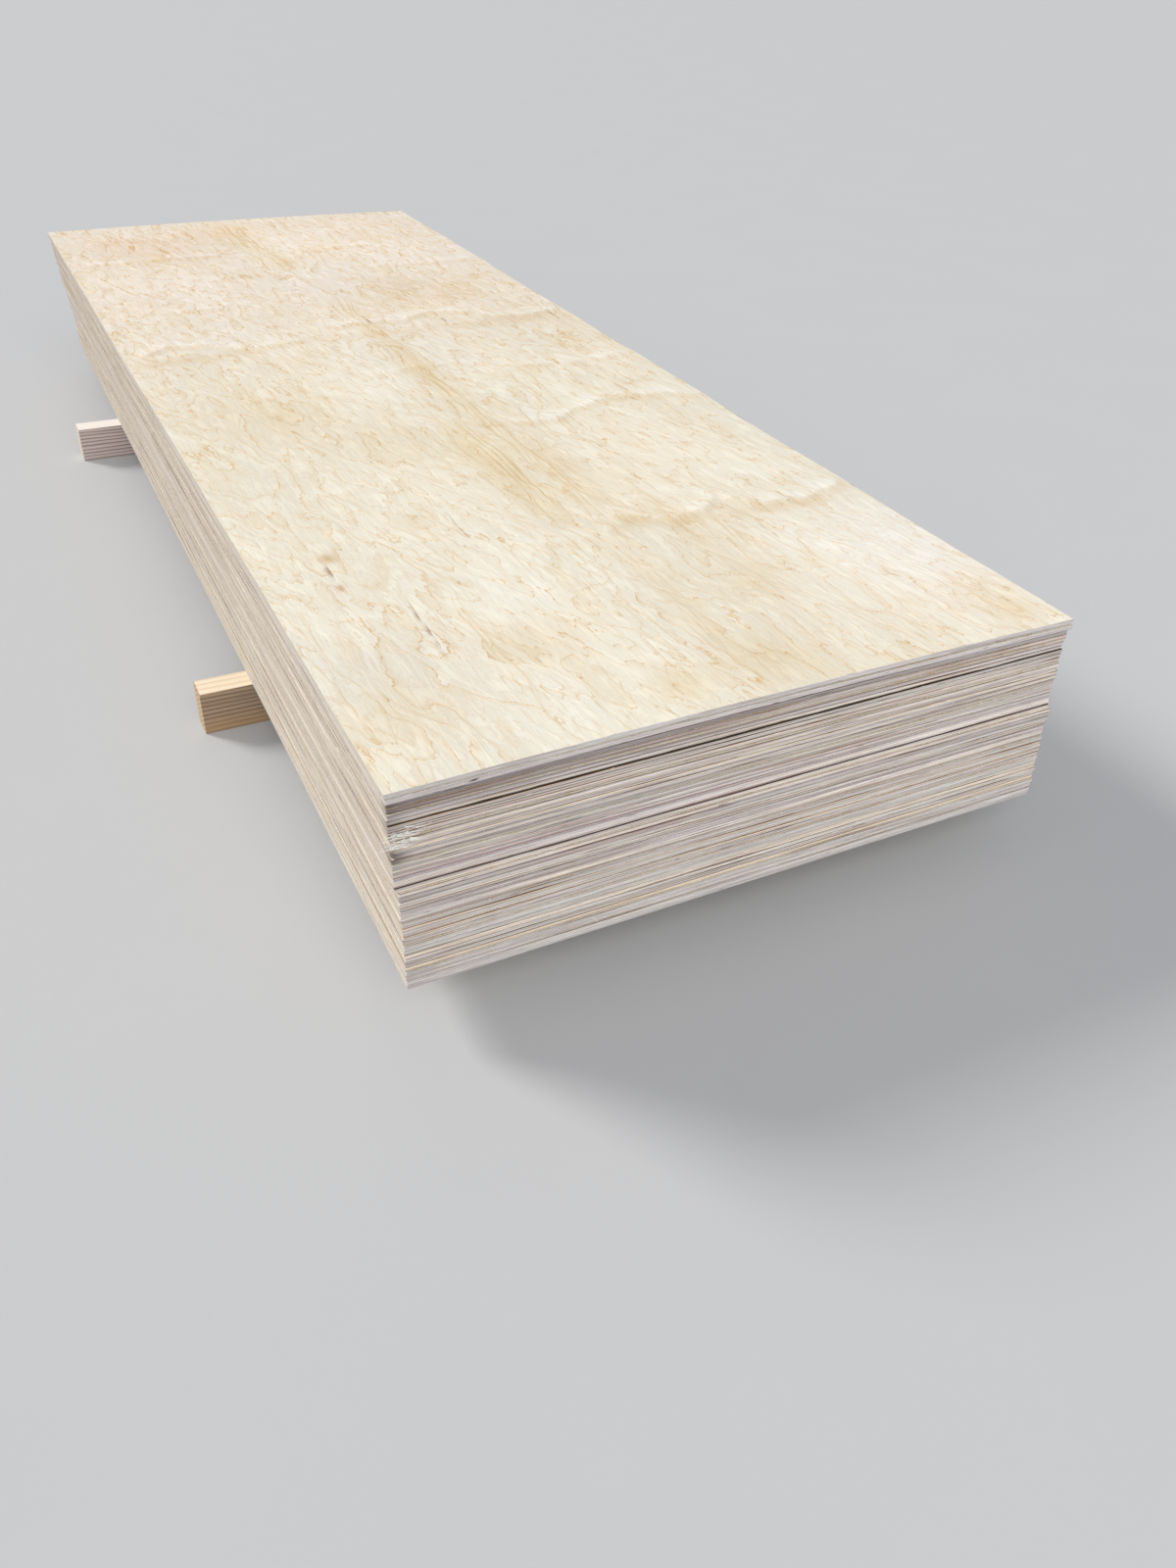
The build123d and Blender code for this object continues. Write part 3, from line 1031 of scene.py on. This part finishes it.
def veneer_material():
    """Rotary-cut birch: pale, with jagged tan figure lines along the grain, soft to one side of each."""
    s = Shader("birch_veneer", roughness=0.56, specular=0.2)
    across, along = s.sheet_place()
    leaning = s.math("MULTIPLY_ADD", along, FIGURE_LEAN, across)

    def at(x, x_scale, y_scale, z=0.0):
        return s.combine(s.times(x, x_scale), s.times(along, y_scale), z)

    def shifted(value, scale, by, amount):
        return s.plus(s.times(value, scale), s.times(by, amount))

    broad = s.noise(at(across, 2.6, 1.0))
    colour = s.mix(s.span(broad, 0.3, 0.7), VENEER_PALE, VENEER_WARM)
    colour = s.mix(s.span(along, 0.9, 2.0, 0.0, 0.8), colour, VENEER_BACK)

    # Figure: contours of two stretched noises, each a thin jagged line with a soft shade to one side
    warp = s.noise(at(leaning, 15.0, 4.2, 2.0), 3.0)
    jag = s.noise(at(leaning, 85.0, 22.0, 5.0), 3.0, 0.65)
    patches = s.noise(at(across, 5.0, 2.4, 9.0), 3.0)
    colour = s.scaled(colour, s.span(patches, 0.3, 0.7, 1.03, 0.965))
    fibre = s.noise(at(across, 330.0, 14.0, 6.0), 3.0, 0.6)
    broken = s.span(fibre, 0.36, 0.62, 0.3, 1.0)
    field = s.noise(s.combine(shifted(leaning, 8.5, warp, 1.1), shifted(along, 2.5, warp, 0.9), 1.5))
    field = shifted(field, 13.0, jag, 0.65)
    fine_field = shifted(warp, 9.0, jag, 0.75)
    far = s.span(along, 0.6, 2.1)
    line_reach = s.math("MULTIPLY_ADD", far, 0.012, 0.07)
    stronger = s.math("MULTIPLY_ADD", far, 0.6, 1.1)

    def contours(field, show, shade):
        """How much shade and how much line the contours of a field put here."""
        ramp = s.math("FRACT", field)
        soft = s.times(s.span(ramp, 0.0, 0.4, 1.0, 0.0), s.times(show, shade))
        thin = s.times(s.span(ramp, 0.0, line_reach, 1.0, 0.0), show)
        return soft, s.times(thin, broken)

    soft, thin = contours(field, s.span(patches, 0.32, 0.54), 0.38)
    fine_soft, fine_thin = contours(fine_field, s.span(patches, 0.64, 0.42), 0.28)
    colour = s.mix(s.span(warp, 0.50, 0.70, 0.0, 0.34), colour, GOLDEN_PATCH)
    colour = s.mix(s.times(s.math("MAXIMUM", soft, fine_soft), stronger), colour, FIGURE_SHADE)
    colour = s.mix(s.times(s.math("MAXIMUM", thin, fine_thin), stronger), colour, FIGURE_COLOUR)

    # Crinkle: the fine wavy net of birch
    net_place = s.combine(shifted(leaning, 75.0, warp, 5.0), shifted(along, 18.0, warp, 3.0), 3.0)
    net = s.noise(net_place, 4.0, 0.62)
    crinkle = s.math("ABSOLUTE", s.minus(net, 0.5))
    lines = s.times(s.span(crinkle, 0.0, 0.04, 1.0, 0.0), s.span(patches, 0.3, 0.6, 0.5, 1.0))
    colour = s.mix(s.times(lines, 0.22), colour, CRINKLE_COLOUR)
    colour = s.scaled(colour, s.span(net, 0.25, 0.75, 0.95, 1.05))

    # Bands of golden streaks, each with its own place
    wave = s.times(s.minus(warp, 0.5), 0.045)
    bent = s.plus(across, s.plus(wave, s.times(jag, 0.006)))
    total = None
    for x0, first, x1, last, half, strong in BANDS:
        slope = (x1 - x0) / (last - first)
        line = s.math("MULTIPLY_ADD", along, slope, (x0 - slope * first + MEAN_JAG) * MM)
        off = s.math("ABSOLUTE", s.minus(bent, line))
        core = s.span(off, 0.3 * half * MM, 1.3 * half * MM, strong, 0.0)
        fade = 0.22 * (last - first)
        start = s.span(along, first * MM, (first + fade) * MM)
        end = s.span(along, (last - fade) * MM, last * MM, 1.0, 0.0)
        mark = s.times(core, s.times(start, end))
        total = mark if total is None else s.math("MAXIMUM", total, mark)
    streaks = s.noise(s.combine(s.times(bent, 210.0), s.times(along, 3.2), 8.0), 3.0, 0.6)
    colour = s.mix(s.times(total, 0.26), colour, GOLD)
    everywhere = s.math("MAXIMUM", total, 0.18)
    colour = s.mix(s.times(everywhere, s.span(streaks, 0.50, 0.60, 0.0, 0.80)), colour, BAND_COLOUR)

    # Fine grain, and flecks
    grain = s.noise(at(across, 520.0, 11.0), 2.0, 0.6)
    colour = s.scaled(colour, s.span(grain, 0.3, 0.7, 0.955, 1.03))
    flecks = s.times(s.span(fibre, 0.66, 0.74), s.span(patches, 0.35, 0.6, 0.1, 0.5))
    colour = s.mix(flecks, colour, FIGURE_COLOUR)

    clouds, _ = s.tone_and_painted_light()
    colour = s.mix(1.0, colour, clouds, "MULTIPLY")
    relief = s.plus(s.times(grain, 0.4), net)
    return s.finish(colour, relief, distance=0.4 * MM, strength=0.6)


def timber_material(name, middle_y, pale, dark, ring_share, low_colour=None):
    """Softwood sawn lengthwise: growth rings round a heart that runs along X, and dark weathered lines."""
    s = Shader(name, roughness=0.65, specular=0.2)
    x, y, z = s.split(s.own_place())

    def lengthwise(x_scale, cross_scale, detail, roughness=0.5):
        """Noise that is drawn out along the timber."""
        place = s.combine(s.times(x, x_scale), s.times(y, cross_scale), s.times(z, cross_scale))
        return s.noise(place, detail, roughness)

    bow = s.noise(s.combine(s.times(x, 2.2), s.times(z, 9.0)))
    from_y = s.math("MULTIPLY_ADD", bow, 0.012, s.minus(y, middle_y - HEART[0]))
    from_z = s.math("MULTIPLY_ADD", bow, 0.006, s.minus(z, HEART[1]))
    distance = s.math("SQRT", s.plus(s.times(from_y, from_y), s.times(from_z, from_z)))
    wobble = lengthwise(3.0, 30.0, 2.0)
    rings = s.math("FRACT", s.plus(s.math("DIVIDE", distance, RING_PITCH), s.times(wobble, 1.1)))
    late = s.times(s.span(rings, 0.35, 0.92), s.span(rings, 0.92, 1.0, 1.0, 0.0))
    fine = lengthwise(5.0, 260.0, 3.0, 0.6)
    fibres = lengthwise(14.0, 900.0, 3.0)
    colour = s.mix(s.times(late, ring_share), pale, dark)
    colour = s.mix(s.span(fine, 0.52, 0.70, 0.0, 0.45 * ring_share), colour, dark)
    if low_colour:
        colour = s.mix(s.span(z, 0.004, 0.038, 0.55, 0.0), colour, low_colour)
    colour = s.scaled(colour, s.span(fibres, 0.3, 0.7, 0.92, 1.06))
    relief = s.plus(s.times(late, -0.6), s.plus(s.times(fibres, 0.3), fine))
    return s.finish(colour, relief, distance=0.5 * MM)


def bearer_section(half_y, half_z):
    """The points of a bearer's section, once round from its back side, each arris an arc."""
    section = []
    for turn, (y_side, z_side) in enumerate(((1, 1), (-1, 1), (-1, -1), (1, -1))):
        for step in range(ARRIS_POINTS):
            angle = math.radians(90 * turn + 90 / (ARRIS_POINTS - 1) * step)
            y = y_side * (half_y - BEARER_ARRIS) + BEARER_ARRIS * math.cos(angle)
            z = z_side * (half_z - BEARER_ARRIS) + BEARER_ARRIS * math.sin(angle)
            section.append((y, z))
    return np.array(section)


def build_bearer(node, top, side, end):
    """A planed length of timber with eased arrises. Top, side and end each say what a material is like:
    its pale and its dark colour, how strong its rings are, and its colour near the floor. The tops' colours
    are partly painted light and the sides' colours partly painted shade."""
    low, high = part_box(node)
    middle_y, middle_z = (low.y + high.y) / 2, (low.z + high.z) / 2
    half_y, half_z = (high.y - low.y) / 2, (high.z - low.z) / 2
    section = bearer_section(half_y, half_z)
    end_section = section * (1 - END_ROUNDING / np.array([half_y, half_z]))
    inner = np.linspace(low.x, high.x, BEARER_SECTIONS)[1:-1]
    places = [low.x, low.x + END_ROUNDING, *inner, high.x - END_ROUNDING, high.x]
    points = []
    for x in places:
        ring = end_section if x in (low.x, high.x) else section
        points += [(x, middle_y + y, middle_z + z) for y, z in ring]
    count = len(section)
    faces = []
    for first in range(0, (len(places) - 1) * count, count):
        for i in range(count):
            j = (i + 1) % count
            faces.append((first + i, first + j, first + count + j, first + count + i))
    faces.append(tuple(range(count))[::-1])
    faces.append(tuple(range(len(points) - count, len(points))))

    mesh = bpy.data.meshes.new(node)
    mesh.from_pydata(points, [], faces)
    for part, colours in (("top", top), ("side", side), ("end", end)):
        mesh.materials.append(timber_material(f"{node}_{part}", middle_y, *colours))
    mesh.update()
    for face in mesh.polygons:
        upper = BEARER_TOP if face.normal.z > 0.8 else BEARER_SIDE
        face.material_index = BEARER_END if abs(face.normal.x) > 0.8 else upper
    made = new_object(node + "_timber", mesh)
    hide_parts(node)
    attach(made, "root")
    return made


def sliver(path, widths):
    """Points and faces of a thin three-sided strip along a path, narrower towards its tip."""
    points, faces = [], []
    for (x, y, z), wide in zip(path, widths):
        points += [(x, y, z + wide / 2), (x, y - wide / 3, z - wide / 2), (x, y + wide / 3, z - wide / 2)]
    for station in range(len(path) - 1):
        for i in range(3):
            j = (i + 1) % 3
            faces.append((3 * station + i, 3 * station + j, 3 * station + 3 + j, 3 * station + 3 + i))
    end = 3 * len(path) - 3
    return points, faces + [(2, 1, 0), (end, end + 1, end + 2)]


def build_splinters():
    """Fibres torn loose at the bruised corner, and one curled shaving lower down."""
    rng = np.random.default_rng(SPLINTER_SEED)
    points, faces = [], []

    def add(x, y, z, widths):
        path = np.column_stack([x, np.maximum(y, cad_low.y + FRAY_MARGIN), z])
        made, joined = sliver(path, widths)
        faces.extend(tuple(i + len(points) for i in face) for face in joined)
        points.extend(made)

    for above, near, far, count in FRAYS:
        sheet = Sheet(TOP - above)
        for _ in range(count):
            start = rng.uniform(near, far)
            reach = rng.uniform(*FRAY_LENGTHS) * MM * rng.choice([-1, 1, 1])
            share = np.linspace(0, 1, FRAY_POINTS)
            bow = rng.uniform(*FRAY_BOWS) * MM * np.sin(share * math.pi * rng.uniform(0.5, 0.9))
            climb = rng.uniform(*FRAY_CLIMBS) * MM * share**2
            z = sheet.low + rng.uniform(0.1, 0.95) * THICKNESS + climb
            widths = rng.uniform(*FRAY_WIDTHS) * MM * (1.05 - share)
            add(*sheet.place(start + reach * share, 1.2 * MM - bow), z, widths)

    above, start, count = SHAVING
    sheet = Sheet(TOP - above)
    turn = np.linspace(0, 1.6 * math.pi, count)
    x, y = sheet.place(start + 7 * MM * np.sin(turn / 2.2), 0.9 * MM - 2.6 * MM * np.sin(turn / 1.6))
    z = sheet.low + 2.5 * MM - 3.2 * MM * (1 - np.cos(turn))
    add(x, y, z, np.linspace(1.0, 0.5, count) * MM)

    mesh = bpy.data.meshes.new("corner_splinters")
    mesh.from_pydata(points, [], faces)
    s = Shader("loose_fibre", roughness=0.7, specular=0.15)
    tone = s.noise(s.own_place(), detail=3.0, scale=180.0)
    colour = s.mix(s.span(tone, 0.3, 0.7), (0.98, 0.96, 0.92), (0.80, 0.73, 0.64))
    mesh.materials.append(s.finish(colour, tone))
    mesh.update()
    made = new_object("corner_splinters", mesh)
    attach(made, "root")
    return made


def add_camera():
    """The photograph's camera, turned right by its yaw, down by its pitch and then over by its roll."""
    yaw, pitch, roll = (math.radians(v) for v in (CAMERA_YAW, CAMERA_PITCH, CAMERA_ROLL))
    ahead = Vector((math.sin(yaw) * math.cos(pitch), math.cos(yaw) * math.cos(pitch), -math.sin(pitch)))
    right = ahead.cross(Vector((0, 0, 1))).normalized()
    down = ahead.cross(right)
    turned_right = right * math.cos(roll) + down * math.sin(roll)
    turned_down = down * math.cos(roll) - right * math.sin(roll)
    data = bpy.data.cameras.new("camera")
    data.sensor_width = SENSOR
    data.lens = SENSOR * FOCAL_PIXELS / max(PICTURE_WIDTH, PICTURE_HEIGHT)
    data.clip_end = 200
    camera = new_object("camera", data)
    axes = Matrix((turned_right, -turned_down, -ahead)).transposed()
    camera.matrix_world = Matrix.Translation(CAMERA_PLACE) @ axes.to_4x4()
    bpy.context.scene.camera = camera


def add_floor():
    corners = [(x * FLOOR_HALF, y * FLOOR_HALF, 0) for x, y in ((-1, -1), (1, -1), (1, 1), (-1, 1))]
    mesh = bpy.data.meshes.new("floor")
    mesh.from_pydata(corners, [], [(0, 1, 2, 3)])
    s = Shader("pale_floor", roughness=0.85, specular=0.15)
    speck = s.noise(s.own_place(), detail=4.0, scale=3.0)
    mesh.materials.append(s.finish(s.mix(s.span(speck, 0.3, 0.7), *FLOOR_COLOURS)))
    floor = new_object("floor", mesh)


def add_sun(name, azimuth, elevation, softness, strength, colour):
    """Soft light from far away. Azimuth is where it comes from: 0 from +Y, 90 from +X."""
    data = bpy.data.lights.new(name, "SUN")
    data.energy = strength
    data.angle = math.radians(softness)
    data.color = colour
    turn, rise = math.radians(azimuth), math.radians(elevation)
    source = Vector((math.sin(turn) * math.cos(rise), math.cos(turn) * math.cos(rise), math.sin(rise)))
    light = new_object(name, data)
    light.rotation_mode = "QUATERNION"
    light.rotation_quaternion = (-source).to_track_quat("-Z", "Y")


def add_world():
    world = bpy.data.worlds.new("studio")
    world.use_nodes = True
    background = world.node_tree.nodes["Background"]
    background.inputs["Color"].default_value = SKY_COLOUR
    background.inputs["Strength"].default_value = SKY_STRENGTH
    bpy.context.scene.world = world


face = veneer_material()
short_edge = edge_material("short_edge", True, END_GRAIN, glue_share=0.9)
long_edge = edge_material("long_edge", False, SIDE_END_GRAIN, glue_share=0.55)
for level in range(len(SHEETS)):
    laid = build_sheet(level)
    for material in (short_edge, long_edge, face):
        laid.data.materials.append(material)

# The tops' colours are partly painted light and the sides' partly painted shade, on top of the wood's own
# colour
build_bearer(
    "bearer_front",
    top=((0.92, 0.79, 0.61), (0.78, 0.59, 0.39), 0.8),
    side=((0.40, 0.285, 0.19), (0.16, 0.10, 0.065), 0.85, (0.45, 0.285, 0.14)),
    end=((0.62, 0.45, 0.27), (0.38, 0.24, 0.12), 0.6),
)
build_bearer(
    "bearer_back",
    top=((0.92, 0.87, 0.81), (0.86, 0.78, 0.70), 0.7),
    side=((0.60, 0.49, 0.45), (0.22, 0.165, 0.145), 0.85),
    end=((0.80, 0.70, 0.56), (0.60, 0.48, 0.34), 0.5),
)

build_splinters()

add_camera()
add_floor()
add_sun("key", azimuth=-40, elevation=33, softness=18, strength=2.2, colour=(1.0, 0.985, 0.955))
add_sun("fill", azimuth=200, elevation=34, softness=60, strength=1.6, colour=(0.94, 0.965, 1.0))
add_world()
bpy.context.scene.view_settings.view_transform = "Standard"
